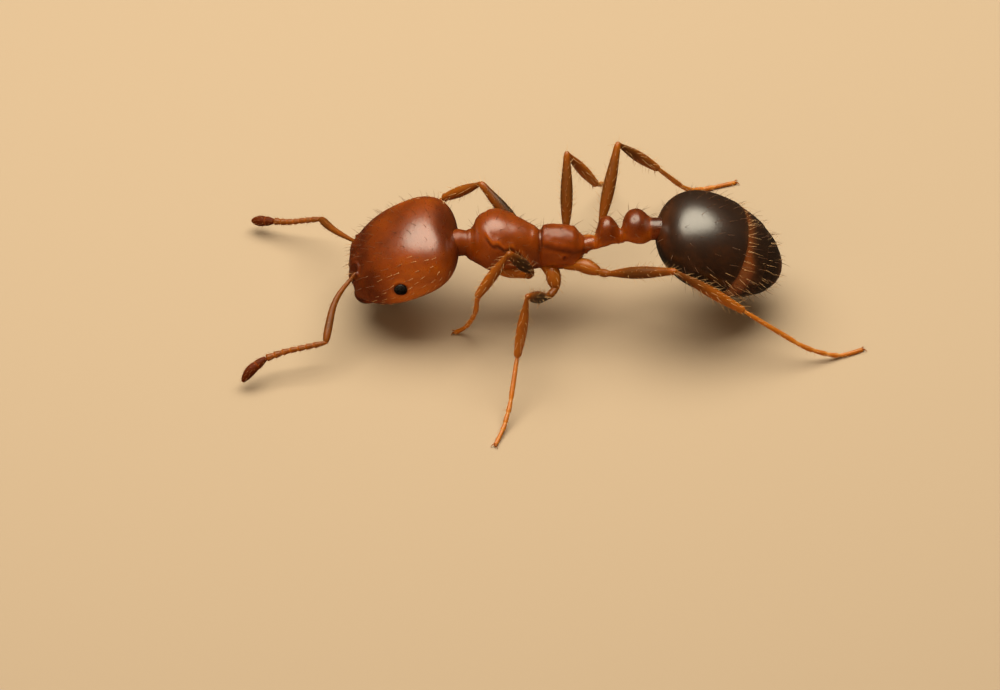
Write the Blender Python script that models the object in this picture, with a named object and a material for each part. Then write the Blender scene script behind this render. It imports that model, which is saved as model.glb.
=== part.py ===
"""A worker fire ant standing on its six feet: head towards -Y, its left side towards +X, +Z up.

Shapes are drawn in millimetres, with the floor at Z = 0 and the waist groove of the trunk at Y = 0, and are
stored in metres. The empty "ant" carries them all, and brings the middle of their footprint to the origin.
Each shell piece is a loft of rings, and pieces that meet face each other across a hairline gap.
"""

import math

import bmesh
import bpy
from mathutils import Matrix, Vector
from mathutils.geometry import interpolate_bezier

for old in list(bpy.data.objects):
    bpy.data.objects.remove(old)

MM = 0.001  # metres in a millimetre
GAP = 0.005  # between two shell pieces that meet
TIP_SHARE = 0.998  # of the length of a rounded end: its last ring stops just short of a point
BODY_SIDES = 24  # round the head, trunk and gaster
LIMB_SIDES = 12  # round coxae, femora, tibiae and feelers
TOE_SIDES = 8  # round the thin tarsi
ACROSS = Vector((1, 0, 0))
BACKWARD = Vector((0, 1, 0))

# The head is an egg along its own axis, which points forward and down. Places in the head are given as
# (across, forward, up) in its own frame. A rounded end is fuller where its power is higher.
HEAD_CENTRE = Vector((0, -1.218, 0.638))
HEAD_PITCH = math.radians(30)
HEAD_HALF_WIDTH = 0.520
HEAD_WIDEST = -0.100  # forward of the centre
HEAD_FRONT_LENGTH = 0.644  # from the widest place to the front
HEAD_REAR_LENGTH = 0.412
CROWN_HEIGHT = 0.359
THROAT_DEPTH = 0.335
HEAD_FRONT_POWERS = (2.50, 2.06)  # seen from above, and from the side
HEAD_REAR_POWERS = (3.00, 2.25)
HEAD_FRONT_RINGS = 10
HEAD_REAR_RINGS = 9
EYE_PLACE = (0.494, 0.010, 0.043)
EYE_HALF_SIZE = (0.038, 0.069, 0.061)
FEELER_ROOT = (0.190, 0.400, 0.165)
MOUTH_REAR = 0.360  # the capsule is open in front of this, below the shelf
MOUTH_SHELF = -0.045
JAW = (  # across, forward, up, half thickness and half width of the blade, from its hinge to its tip
    (0.240, 0.373, -0.116, 0.064, 0.056),
    (0.246, 0.440, -0.116, 0.064, 0.060),
    (0.212, 0.506, -0.118, 0.064, 0.058),
    (0.148, 0.550, -0.122, 0.056, 0.050),
    (0.080, 0.562, -0.128, 0.044, 0.040),
    (0.018, 0.550, -0.134, 0.024, 0.018),
)

# Pieces on the midline: Y, height of the middle, half width and half height of each ring.
NECK = (
    (-0.790, 0.776, 0.108, 0.110),
    (-0.700, 0.772, 0.112, 0.116),
    (-0.650, 0.757, 0.130, 0.140),
    (-0.606, 0.745, 0.144, 0.154),
)
THORAX = (
    (-0.600, 0.766, 0.164, 0.168),
    (-0.578, 0.794, 0.200, 0.200),
    (-0.530, 0.812, 0.240, 0.234),
    (-0.450, 0.811, 0.274, 0.264),
    (-0.360, 0.804, 0.284, 0.268),
    (-0.252, 0.788, 0.254, 0.244),
    (-0.135, 0.752, 0.210, 0.226),
    (-0.050, 0.716, 0.178, 0.214),
    (-0.006, 0.704, 0.160, 0.200),
)
PROPODEUM = (
    (0.000, 0.704, 0.158, 0.200),
    (0.028, 0.716, 0.172, 0.230),
    (0.120, 0.720, 0.174, 0.230),
    (0.220, 0.722, 0.170, 0.222),
    (0.300, 0.726, 0.156, 0.194),
    (0.352, 0.728, 0.130, 0.136),
    (0.388, 0.734, 0.100, 0.092),
    (0.404, 0.738, 0.080, 0.074),
)
PETIOLE = (
    (0.410, 0.744, 0.074, 0.070),
    (0.460, 0.764, 0.064, 0.060),
    (0.502, 0.776, 0.064, 0.062),
    (0.520, 0.840, 0.098, 0.112),
    (0.544, 0.888, 0.122, 0.138),
    (0.572, 0.910, 0.132, 0.144),
    (0.606, 0.920, 0.134, 0.142),
    (0.644, 0.914, 0.124, 0.132),
    (0.688, 0.886, 0.098, 0.100),
    (0.714, 0.862, 0.074, 0.074),
    (0.728, 0.860, 0.068, 0.066),
)
POSTPETIOLE = (
    (0.734, 0.864, 0.068, 0.066),
    (0.756, 0.930, 0.112, 0.104),
    (0.786, 0.972, 0.140, 0.124),
    (0.832, 0.984, 0.162, 0.142),
    (0.886, 0.980, 0.170, 0.150),
    (0.936, 0.964, 0.156, 0.138),
    (0.980, 0.948, 0.124, 0.112),
    (1.014, 0.948, 0.106, 0.100),
    (1.110, 0.962, 0.108, 0.102),
)

# The gaster is an egg whose tip hangs and turns a little to the right. Its four rings telescope.
GASTER_CENTRE = Vector((0, 1.558, 0.758))
GASTER_PITCH = math.radians(34.5)
GASTER_TURN = math.radians(6.5)
GASTER_HALF_WIDTH = 0.506
GASTER_HALF_HEIGHT = 0.391
GASTER_FRONT_LENGTH = 0.540
GASTER_REAR_LENGTH = 0.730
GASTER_FRONT_POWER = 2.38
GASTER_REAR_POWER = 1.97
GASTER_SEAMS = (0.120, 0.400, 0.570)  # behind the centre
SEAM_STEP = 0.975  # what is left of the egg's girth behind each seam
GASTER_RINGS = (12, 6, 4, 4)

MOST_TURN = 0.12  # radians that a curved limb bends between two of its rings
LEAST_STEP = 0.03  # share of a limb piece's length between two rings

HIPS = {  # where the coxae leave the trunk, on the left side
    "fore": Vector((0.120, -0.390, 0.640)),
    "mid": Vector((0.090, 0.100, 0.600)),
    "hind": Vector((0.090, 0.280, 0.640)),
}
LEGS = {  # end of the coxa, end of the trochanter, knee, ankle, heel, ball and toe
    ("left", "fore"): (
        (0.240, -0.108, 0.584), (0.272, -0.068, 0.662), (0.480, -0.284, 1.104),
        (0.600, -0.568, 0.676), (0.500, -0.577, 0.394), (0.402, -0.672, 0.090), (0.392, -0.777, 0.010),
    ),
    ("left", "mid"): (
        (0.275, 0.140, 0.450), (0.350, 0.072, 0.430), (0.855, -0.113, 0.931),
        (1.030, -0.205, 0.344), (1.420, -0.267, 0.140), (1.640, -0.330, 0.045), (1.828, -0.405, 0.012),
    ),
    ("left", "hind"): (
        (0.220, 0.540, 0.615), (0.272, 0.600, 0.650), (0.598, 1.213, 0.997),
        (0.633, 1.838, 0.531), (0.736, 2.383, 0.173), (0.700, 2.700, 0.025), (0.592, 2.941, 0.012),
    ),
    ("right", "fore"): (
        (-0.210, -0.110, 0.560), (-0.270, -0.130, 0.600), (-0.590, -0.532, 0.939),
        (-0.720, -0.874, 0.630), (-0.820, -1.020, 0.320), (-0.900, -1.120, 0.080), (-0.980, -1.220, 0.012),
    ),
    ("right", "mid"): (
        (-0.290, 0.200, 0.470), (-0.345, 0.235, 0.525), (-0.850, 0.247, 1.067),
        (-1.000, 0.514, 0.528), (-1.330, 0.590, 0.210), (-1.520, 0.625, 0.050), (-1.700, 0.660, 0.012),
    ),
    ("right", "hind"): (
        (-0.220, 0.525, 0.600), (-0.285, 0.545, 0.660), (-0.820, 0.708, 1.214),
        (-1.133, 1.072, 0.600), (-1.375, 1.342, 0.097), (-1.450, 1.495, 0.025), (-1.550, 1.800, 0.012),
    ),
}
FEELERS = {  # bend of the scape, elbow, middle of the funicle, start, middle and tip of the club
    "left": (
        (0.400, -1.845, 0.460), (0.800, -1.933, 0.293), (0.870, -2.306, 0.246),
        (0.930, -2.470, 0.225), (1.030, -2.610, 0.170), (1.100, -2.680, 0.090),
    ),
    "right": (
        (-0.450, -1.855, 0.475), (-0.770, -1.988, 0.315), (-0.850, -2.290, 0.195),
        (-0.890, -2.414, 0.165), (-0.930, -2.530, 0.130), (-0.965, -2.620, 0.100),
    ),
}

# Radius at each share of a limb piece's length.
COXA = ((0.0, 0.068), (0.35, 0.079), (0.72, 0.068), (1.0, 0.040))
FEMUR = (
    (0.0, 0.032), (0.08, 0.038), (0.15, 0.028), (0.26, 0.038), (0.42, 0.054), (0.62, 0.058),
    (0.84, 0.042), (1.0, 0.030),
)
TIBIA = ((0.0, 0.024), (0.12, 0.030), (0.36, 0.046), (0.62, 0.052), (0.84, 0.043), (1.0, 0.031))
TARSUS = ((0.0, 0.024), (0.12, 0.023), (0.50, 0.022), (0.85, 0.021), (1.0, 0.018))
SCAPE = ((0.0, 0.020), (0.20, 0.022), (0.55, 0.032), (0.88, 0.038), (1.0, 0.030))
FUNICLE = ((0.0, 0.020), (0.12, 0.026), (0.55, 0.025), (1.0, 0.032))
CLUB = ((0.0, 0.032), (0.18, 0.042), (0.60, 0.046), (0.88, 0.034), (1.0, 0.014))

FINISHES = {  # linear base colour, roughness
    "amber_shell": ((0.30, 0.055, 0.012), 0.24),
    "dark_shell": ((0.020, 0.008, 0.005), 0.20),
    "limb_shell": ((0.36, 0.12, 0.020), 0.34),
    "jaw_shell": ((0.080, 0.016, 0.007), 0.30),
    "eye_lens": ((0.004, 0.003, 0.003), 0.25),
}

ANT = bpy.data.objects.new("ant", None)
bpy.context.scene.collection.objects.link(ANT)


def finish(kind):
    """The material of that name, made the first time it is asked for."""
    if kind in bpy.data.materials:
        return bpy.data.materials[kind]
    colour, roughness = FINISHES[kind]
    material = bpy.data.materials.new(kind)
    material.use_nodes = True
    shader = material.node_tree.nodes["Principled BSDF"]
    shader.inputs["Base Color"].default_value = (*colour, 1.0)
    shader.inputs["Roughness"].default_value = roughness
    shader.inputs["Metallic"].default_value = 0.0
    return material


def keep(bm, name, kind):
    """Turns a finished bmesh into a smooth-shaded object carried by the ant's empty."""
    bmesh.ops.recalc_face_normals(bm, faces=bm.faces)
    bmesh.ops.scale(bm, vec=(MM, MM, MM), verts=bm.verts)
    mesh = bpy.data.meshes.new(name)
    bm.to_mesh(mesh)
    bm.free()
    mesh.shade_smooth()
    mesh.set_sharp_from_angle(angle=math.radians(50))
    mesh.materials.append(finish(kind))
    piece = bpy.data.objects.new(name, mesh)
    piece.parent = ANT
    bpy.context.scene.collection.objects.link(piece)
    return piece


def cut(piece, bm):
    """Takes the bmesh's shape out of a piece, by way of a hidden object."""
    cutter = keep(bm, f"{piece.name}_cutter", "eye_lens")
    cutter.hide_render = True
    cutter.display_type = "WIRE"
    difference = piece.modifiers.new("cut", "BOOLEAN")
    difference.operation = "DIFFERENCE"
    difference.solver = "EXACT"
    difference.object = cutter


def cut_clear(piece, neighbour):
    """Cuts a piece back to a gap from its neighbour, with a swollen copy of the neighbour's shape."""
    bm = bmesh.new()
    bm.from_mesh(neighbour.data)
    for vert in bm.verts:
        vert.co = (vert.co + vert.normal * GAP * MM) / MM
    cut(piece, bm)


def ring(bm, centre, normal, width_way, half_width, half_height, sides):
    """An elliptic ring of edges round `centre`, square to `normal`, its width along `width_way`."""
    across = (width_way - width_way.dot(normal) * normal).normalized()
    turn = Matrix((across, normal.cross(across), normal)).transposed().to_4x4()
    size = Matrix.Diagonal((half_width, half_height, 1, 1))
    place = Matrix.Translation(centre) @ turn @ size
    return bmesh.ops.create_circle(bm, segments=sides, radius=1, matrix=place)["verts"]


def loft(bm, rings):
    """Skins a row of rings and closes both ends."""
    def edges_of(verts):
        chosen = set(verts)
        return [edge for edge in bm.edges if set(edge.verts) <= chosen]

    for first, second in zip(rings, rings[1:]):
        bmesh.ops.bridge_loops(bm, edges=edges_of(first) + edges_of(second))
    for end in (rings[0], rings[-1]):
        bmesh.ops.contextual_create(bm, geom=edges_of(end))


def rounding(share, power):
    """1 at share 0 and 0 at share 1, falling as the side of a rounded end does."""
    return (1 - min(share, 1.0) ** power) ** (1 / power)


def end_shares(count):
    """Shares from 0 to 1 that crowd towards 1, where a rounded end curves most."""
    return [math.sin(math.pi / 2 * step / count) for step in range(count + 1)]


def in_head(across, forward, up):
    """A place in the head's own frame, in the ant's."""
    ahead = Vector((0, -math.cos(HEAD_PITCH), -math.sin(HEAD_PITCH)))
    crown = Vector((0, -math.sin(HEAD_PITCH), math.cos(HEAD_PITCH)))
    return HEAD_CENTRE + ACROSS * across + ahead * forward + crown * up


def make_head():
    """The capsule: blunt and broad behind, narrower and rounder in front."""
    bm = bmesh.new()
    ahead = in_head(0, 1, 0) - in_head(0, 0, 0)
    rear = [(-HEAD_REAR_LENGTH, share, HEAD_REAR_POWERS) for share in reversed(end_shares(HEAD_REAR_RINGS))]
    front = [(HEAD_FRONT_LENGTH, share, HEAD_FRONT_POWERS) for share in end_shares(HEAD_FRONT_RINGS)]
    rings = []
    for reach, share, (side_power, crown_power) in rear + front[1:]:
        share *= TIP_SHARE
        width = HEAD_HALF_WIDTH * rounding(share, side_power)
        tall = rounding(share, crown_power)
        middle = (CROWN_HEIGHT - THROAT_DEPTH) / 2 * tall
        centre = in_head(0, HEAD_WIDEST + reach * share, middle)
        height = (CROWN_HEIGHT + THROAT_DEPTH) / 2 * tall
        rings.append(ring(bm, centre, ahead, ACROSS, width, height, BODY_SIDES))
    loft(bm, rings)
    head = keep(bm, "head", "amber_shell")

    mouth = bmesh.new()
    bmesh.ops.create_cube(mouth, size=1)
    bmesh.ops.translate(mouth, vec=(0, -0.5, -0.5), verts=mouth.verts)
    bmesh.ops.rotate(mouth, matrix=Matrix.Rotation(HEAD_PITCH, 3, "X"), verts=mouth.verts)
    bmesh.ops.translate(mouth, vec=in_head(0, MOUTH_REAR, MOUTH_SHELF), verts=mouth.verts)
    cut(head, mouth)
    return head


def make_eye(side, sign, head):
    """A low lens in a socket of the head."""
    across, forward, up = EYE_PLACE
    bm = bmesh.new()
    bmesh.ops.create_uvsphere(bm, u_segments=14, v_segments=10, radius=1)
    bmesh.ops.scale(bm, vec=EYE_HALF_SIZE, verts=bm.verts)
    bmesh.ops.rotate(bm, matrix=Matrix.Rotation(HEAD_PITCH, 3, "X"), verts=bm.verts)
    bmesh.ops.translate(bm, vec=in_head(sign * across, forward, up), verts=bm.verts)
    eye = keep(bm, f"eye_{side}", "eye_lens")
    cut_clear(head, eye)


def make_jaw(side, sign):
    """A curved blade that closes under the shelf of the mouth."""
    bm = bmesh.new()
    crown = in_head(0, 0, 1) - in_head(0, 0, 0)
    places = [in_head(sign * across, forward, up) for across, forward, up, _, _ in JAW]
    rings = []
    for step, (place, (_, _, _, thickness, width)) in enumerate(zip(places, JAW)):
        before, after = places[max(step - 1, 0)], places[min(step + 1, len(places) - 1)]
        rings.append(ring(bm, place, (after - before).normalized(), crown, thickness, width, LIMB_SIDES))
    loft(bm, rings)
    keep(bm, f"mandible_{side}", "jaw_shell")


def make_midline_piece(name, table, kind):
    """A piece of the trunk or waist: upright rings at the table's places."""
    bm = bmesh.new()
    rings = [
        ring(bm, Vector((0, y, z)), BACKWARD, ACROSS, width, height, BODY_SIDES)
        for y, z, width, height in table
    ]
    loft(bm, rings)
    return keep(bm, name, kind)


def make_gaster():
    """Four rings of one egg, each a little slimmer than the one that it comes out of."""
    turn = Matrix.Rotation(GASTER_TURN, 3, "Z") @ Matrix.Rotation(-GASTER_PITCH, 3, "X")
    axis = turn @ BACKWARD
    seams = (-GASTER_FRONT_LENGTH * TIP_SHARE, *GASTER_SEAMS, GASTER_REAR_LENGTH * TIP_SHARE)
    pieces = []
    for number, (start, end) in enumerate(zip(seams, seams[1:])):
        bm = bmesh.new()
        first, last = start + GAP / 2, end - GAP / 2
        rings = []
        for share in end_shares(GASTER_RINGS[number] - 1):
            along = last - (last - first) * share if number == 0 else first + (last - first) * share
            if along < 0:
                girth = rounding(-along / GASTER_FRONT_LENGTH, GASTER_FRONT_POWER)
            else:
                girth = rounding(along / GASTER_REAR_LENGTH, GASTER_REAR_POWER)
            girth *= SEAM_STEP ** number
            rings.append(ring(bm, GASTER_CENTRE + axis * along, axis, turn @ ACROSS,
                              GASTER_HALF_WIDTH * girth, GASTER_HALF_HEIGHT * girth, BODY_SIDES))
        loft(bm, rings)
        pieces.append(keep(bm, f"gaster_{number + 1}", "dark_shell"))
    return pieces


def middle_way(before, at, after):
    """The direction halfway through a bend: two pieces that meet there end square to it."""
    return ((at - before).normalized() + (after - at).normalized()).normalized()


def curve_through(points, steps=10):
    """A smooth run of points through the given ones, which bends no further from each than its near side."""
    pulls = [(points[1] - points[0]) / 3]
    for before, at, after in zip(points, points[1:], points[2:]):
        pulls.append(middle_way(before, at, after) * min((at - before).length, (after - at).length) / 3)
    pulls.append((points[-1] - points[-2]) / 3)
    run = [points[0]]
    for start, end, leaving, arriving in zip(points, points[1:], pulls, pulls[1:]):
        run += interpolate_bezier(start, start + leaving, end - arriving, end, steps + 1)[1:]
    return run


def radius_at(profile, share):
    """The radius at any share of a limb piece, from its profile's nearest two."""
    for (low, first), (high, second) in zip(profile, profile[1:]):
        if share <= high:
            return first + (second - first) * (share - low) / (high - low)
    return profile[-1][1]


def make_limb_piece(name, points, profile, sides, start_normal=None, end_normal=None):
    """A tube along a curve. At a joint its end ring lies in the joint's own plane, half a gap from it."""
    run = curve_through(points)
    walked = [0.0]
    for a, b in zip(run, run[1:]):
        walked.append(walked[-1] + (b - a).length)
    shares = [share for share, _ in profile]
    last_heading = None
    for step in range(1, len(run) - 1):
        heading = (run[step + 1] - run[step]).normalized()
        last_heading = last_heading or heading
        share = walked[step] / walked[-1]
        room = min(abs(share - other) for other in shares)
        if heading.angle(last_heading) > MOST_TURN and room > LEAST_STEP:
            shares.append(share)
            last_heading = heading
    bm = bmesh.new()
    rings = []
    width_way = None
    for share in sorted(shares):
        along = share * walked[-1]
        step = max(i for i in range(len(run) - 1) if walked[i] <= along + 1e-9)
        heading = (run[step + 1] - run[step]).normalized()
        centre = run[step] + heading * (along - walked[step])
        normal = heading
        if share == 0.0:
            normal = start_normal or heading
            centre = centre + normal * GAP / 2
        elif share == 1.0:
            normal = end_normal or heading
            centre = centre - normal * GAP / 2
        width_way = width_way or normal.orthogonal()
        width_way = (width_way - width_way.dot(normal) * normal).normalized()
        radius = radius_at(profile, share)
        rings.append(ring(bm, centre, normal, width_way, radius, radius, sides))
    loft(bm, rings)
    for vert in bm.verts:
        vert.co.z = max(vert.co.z, 0.0)
    return keep(bm, name, "limb_shell")


def make_leg(side, pair, trunk):
    places = [Vector(place) for place in LEGS[side, pair]]
    coxa_end, trochanter_end, knee, ankle, heel, ball, toe = places
    hip = HIPS[pair].copy()
    hip.x *= math.copysign(1, toe.x)
    at_coxa = middle_way(hip, coxa_end, trochanter_end)
    at_knee = middle_way(trochanter_end, knee, ankle)
    at_ankle = middle_way(knee, ankle, heel)
    leg = f"{side}_{pair}"
    coxa = make_limb_piece(f"{leg}_coxa", [hip, coxa_end], COXA, LIMB_SIDES, None, at_coxa)
    cut_clear(coxa, trunk)
    femur = [coxa_end, trochanter_end, knee]
    make_limb_piece(f"{leg}_femur", femur, FEMUR, LIMB_SIDES, at_coxa, at_knee)
    make_limb_piece(f"{leg}_tibia", [knee, ankle], TIBIA, LIMB_SIDES, at_knee, at_ankle)
    make_limb_piece(f"{leg}_tarsus", [ankle, heel, ball, toe], TARSUS, TOE_SIDES, at_ankle)


def make_feeler(side, sign, head):
    across, forward, up = FEELER_ROOT
    root = in_head(sign * across, forward, up)
    bend, elbow, middle, club_start, club_middle, tip = (Vector(place) for place in FEELERS[side])
    at_elbow = middle_way(bend, elbow, middle)
    at_club = middle_way(middle, club_start, club_middle)
    scape = make_limb_piece(f"{side}_scape", [root, bend, elbow], SCAPE, LIMB_SIDES, None, at_elbow)
    cut_clear(scape, head)
    make_limb_piece(f"{side}_funicle", [elbow, middle, club_start], FUNICLE, LIMB_SIDES, at_elbow, at_club)
    make_limb_piece(f"{side}_club", [club_start, club_middle, tip], CLUB, LIMB_SIDES, at_club)


head = make_head()
for side, sign in (("left", 1), ("right", -1)):
    make_jaw(side, sign)
    make_feeler(side, sign, head)
    make_eye(side, sign, head)
cut_clear(make_midline_piece("neck", NECK, "amber_shell"), head)
thorax = make_midline_piece("thorax", THORAX, "amber_shell")
propodeum = make_midline_piece("propodeum", PROPODEUM, "amber_shell")
make_midline_piece("petiole", PETIOLE, "amber_shell")
gaster = make_gaster()
cut_clear(make_midline_piece("postpetiole", POSTPETIOLE, "amber_shell"), gaster[0])
for side, pair in LEGS:
    make_leg(side, pair, thorax if pair == "fore" else propodeum)

corners = [vert.co for piece in ANT.children if not piece.hide_render for vert in piece.data.vertices]
low = Vector(min(corner[axis] for corner in corners) for axis in range(3))
high = Vector(max(corner[axis] for corner in corners) for axis in range(3))
ANT.location = (-(low.x + high.x) / 2, -(low.y + high.y) / 2, -low.z)
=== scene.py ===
"""The finish of a life-size worker fire ant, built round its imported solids.

The ant faces -Y and its left side is towards +X. Sizes are in millimetres until MM turns them into metres.
Shell plates are lofted or shaped over the solids that they stand for, hairs are planted on the plates, and
everything rides on the one body of the still model.
"""

import math
import random

import bmesh
import bpy
from mathutils import Matrix, Vector, noise
from mathutils.kdtree import KDTree


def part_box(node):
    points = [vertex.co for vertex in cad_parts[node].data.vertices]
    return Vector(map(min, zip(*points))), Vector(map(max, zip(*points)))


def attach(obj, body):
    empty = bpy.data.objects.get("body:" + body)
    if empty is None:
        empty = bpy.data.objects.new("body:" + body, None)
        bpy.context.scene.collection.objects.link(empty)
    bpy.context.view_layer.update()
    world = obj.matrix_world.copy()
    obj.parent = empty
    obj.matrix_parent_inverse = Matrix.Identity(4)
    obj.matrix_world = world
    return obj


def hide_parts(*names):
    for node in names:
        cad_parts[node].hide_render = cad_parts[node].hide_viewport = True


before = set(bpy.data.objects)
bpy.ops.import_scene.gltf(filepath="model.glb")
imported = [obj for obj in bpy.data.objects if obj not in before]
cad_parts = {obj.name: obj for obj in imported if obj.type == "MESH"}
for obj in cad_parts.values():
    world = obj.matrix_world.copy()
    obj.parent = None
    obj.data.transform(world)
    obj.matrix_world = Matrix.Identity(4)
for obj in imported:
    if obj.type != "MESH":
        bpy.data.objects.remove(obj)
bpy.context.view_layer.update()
MM = 0.001

# ---- Table, lamps and camera ----
# A matt tan table under a near oval lamp, a broad spill beyond it and a warm fill from the left front. The
# long lens looks down at the ant's left side, so near and far legs come out at nearly one scale.

LOOK_DOWN = math.radians(45)
CAMERA_DISTANCE = 150 * MM
FIELD_WIDTH = 9.009 * MM
AIM_FROM_WAIST = Vector((0.885, -0.360, 0.350)) * MM  # from the floor under the groove of the trunk
OVERHEAD = (-0.28, -0.05, 0.95)
LEFT_FRONT = (0.85, -0.40, 0.35)
WARM_WHITE = (1.0, 0.90, 0.70)
FILL_WHITE = (1.0, 0.68, 0.40)
LAMPS = (  # name, direction, distance, the oval's length and width, power, colour, mirrored in the shell
    ("overhead_lamp", OVERHEAD, 26 * MM, (44 * MM, 23 * MM), 0.0136, WARM_WHITE, True),
    ("spill_lamp", OVERHEAD, 61 * MM, (112 * MM, 112 * MM), 0.0120, WARM_WHITE, False),
    ("fill_lamp", LEFT_FRONT, 80 * MM, (120 * MM, 120 * MM), 0.0360, FILL_WHITE, False),
)
AIR_GLOW = (0.95, 0.70, 0.42, 1)
AIR_GLOW_STRENGTH = 0.03
TABLE_REACH = 250 * MM
TABLE_TAN = (0.45, 0.35, 0.25, 1)
TABLE_ROUGHNESS = 0.9


def middle(node):
    low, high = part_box(node)
    return (low + high) / 2


def put_in_scene(name, data):
    """A new object in the scene, at the origin."""
    thing = bpy.data.objects.new(name, data)
    bpy.context.scene.collection.objects.link(thing)
    return thing


waist = Vector((middle("petiole").x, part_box("propodeum")[0].y, 0))
aim = waist + AIM_FROM_WAIST
towards_camera = Vector((math.cos(LOOK_DOWN), 0, math.sin(LOOK_DOWN)))
camera = put_in_scene("camera", bpy.data.cameras.new("camera"))
camera.location = aim + towards_camera * CAMERA_DISTANCE
camera.rotation_euler = (math.pi / 2 - LOOK_DOWN, 0, math.pi / 2)
camera.data.lens = camera.data.sensor_width * CAMERA_DISTANCE / FIELD_WIDTH
camera.data.clip_start = CAMERA_DISTANCE / 10
camera.data.clip_end = CAMERA_DISTANCE * 10
bpy.context.scene.camera = camera
bpy.context.scene.view_settings.view_transform = "Standard"


def soft_lamp(name, towards, distance, size, power, colour, mirrored):
    """An oval lamp that hangs `towards` a direction from the ant and shines on it."""
    lamp = bpy.data.lights.new(name, "AREA")
    lamp.shape = "ELLIPSE"
    lamp.size, lamp.size_y = size
    lamp.energy = power
    lamp.color = colour
    holder = put_in_scene(name, lamp)
    direction = Vector(towards).normalized()
    holder.location = waist + direction * distance
    holder.rotation_euler = (-direction).to_track_quat("-Z", "Y").to_euler()
    holder.visible_camera = False
    holder.visible_glossy = mirrored


for lamp_values in LAMPS:
    soft_lamp(*lamp_values)

surroundings = bpy.data.worlds.new("surroundings")
bpy.context.scene.world = surroundings
surroundings.use_nodes = True
surroundings.node_tree.nodes["Background"].inputs["Color"].default_value = AIR_GLOW
surroundings.node_tree.nodes["Background"].inputs["Strength"].default_value = AIR_GLOW_STRENGTH

table = bmesh.new()
bmesh.ops.create_grid(table, x_segments=1, y_segments=1, size=TABLE_REACH)
table_mesh = bpy.data.meshes.new("table")
table.to_mesh(table_mesh)
table.free()
table_top = put_in_scene("table", table_mesh)
paper = bpy.data.materials.new("paper")
paper.use_nodes = True
paper.node_tree.nodes["Principled BSDF"].inputs["Base Color"].default_value = TABLE_TAN
paper.node_tree.nodes["Principled BSDF"].inputs["Roughness"].default_value = TABLE_ROUGHNESS
table_mesh.materials.append(paper)
table_top.visible_glossy = False

# ---- Head capsule ----
# One hard, glossy capsule of amber shell, blunt behind and drawn out in front to the shield over the mouth.
# The feelers stand in two rimmed sockets beside it, and shell is darkest where it is thickest, in front.

HEAD_PITCH = math.radians(30)
HEAD_HALF_WIDTH = 0.520
HEAD_WIDEST = -0.100
HEAD_FRONT_LENGTH = 0.644
HEAD_REAR_LENGTH = 0.412
HEAD_FRONT_POWERS = (2.50, 2.06)  # how squarely the width and the height round off
HEAD_REAR_POWERS = (3.00, 2.25)
CROWN_HEIGHT = 0.359
THROAT_DEPTH = 0.335
EYE_FORWARD = 0.010
EYE_UP = 0.043
EYE_HALF_DEPTH = 0.038
EYE_HALF_LENGTH = 0.069
EYE_HALF_HEIGHT = 0.061
FEELER_SOCKET = Vector((0.190, 0.410, 0.170))
MOUTH_REAR = 0.360
MOUTH_SHELF = -0.045
MOUTH_TURN = 0.02  # the height over which the shelf turns into the mouth
HEAD_DETAIL = 7
CLOUD_SIZE = 0.16
MOTTLE_SIZE = 0.035
GLOW_REACH = 0.05
GLOW_SPREAD = (1.0, 0.28, 0.07)  # of red, green and blue light in the shell

SHELL_TONES = (  # from pale, thin shell to black, thick shell; some tones fed in are painted light and shade
    (0.00, (0.640, 0.300, 0.080)),
    (0.20, (0.640, 0.170, 0.008)),
    (0.38, (0.480, 0.108, 0.003)),
    (0.54, (0.260, 0.047, 0.001)),
    (0.70, (0.108, 0.017, 0.001)),
    (0.85, (0.034, 0.007, 0.002)),
    (1.00, (0.010, 0.005, 0.003)),
)

ahead = Vector((0, -math.cos(HEAD_PITCH), -math.sin(HEAD_PITCH)))
crownward = Vector((0, -math.sin(HEAD_PITCH), math.cos(HEAD_PITCH)))
across_ant = Vector((1, 0, 0))
between_eyes = (middle("eye_left") + middle("eye_right")) / 2
head_centre = between_eyes - (ahead * EYE_FORWARD + crownward * EYE_UP) * MM


class Signal:
    """A value in a material. Sums and products of signals add the Math nodes that work them out."""

    def __init__(self, tree, socket=None):
        self.tree = tree
        self.socket = socket

    def add(self, kind, settings=None, inputs=None, output=0):
        """A new node: its settings first, then the values or signals that its sockets take."""
        node = self.tree.nodes.new(kind)
        for name, value in (settings or {}).items():
            if name == "stops":
                ramp = node.color_ramp
                while len(ramp.elements) < len(value):
                    ramp.elements.new(1)
                for element, (place, colour) in zip(ramp.elements, value):
                    element.position = place
                    element.color = (*colour, 1)
            else:
                setattr(node, name, value)
        for name, value in (inputs or {}).items():
            if isinstance(value, Signal):
                self.tree.links.new(value.socket, node.inputs[name])
            else:
                node.inputs[name].default_value = value
        return Signal(self.tree, node.outputs[output])

    def math(self, operation, first, second):
        return self.add("ShaderNodeMath", {"operation": operation}, {0: first, 1: second})

    def __add__(self, other):
        return self.math("ADD", self, other)

    def __radd__(self, other):
        return self.math("ADD", other, self)

    def __sub__(self, other):
        return self.math("SUBTRACT", self, other)

    def __rsub__(self, other):
        return self.math("SUBTRACT", other, self)

    def __mul__(self, other):
        return self.math("MULTIPLY", self, other)

    def __rmul__(self, other):
        return self.math("MULTIPLY", other, self)


def new_material(name):
    """(material, its Principled shader, a signal to add nodes from)"""
    material = bpy.data.materials.new(name)
    material.use_nodes = True
    return material, material.node_tree.nodes["Principled BSDF"], Signal(material.node_tree)


def feed(shader, name, signal):
    signal.tree.links.new(signal.socket, shader.inputs[name])


def feed_colours(shader, stops, signal):
    """A base colour that runs through the stops as the signal rises."""
    feed(shader, "Base Color", signal.add("ShaderNodeValToRGB", {"stops": stops}, {"Fac": signal}))


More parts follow.
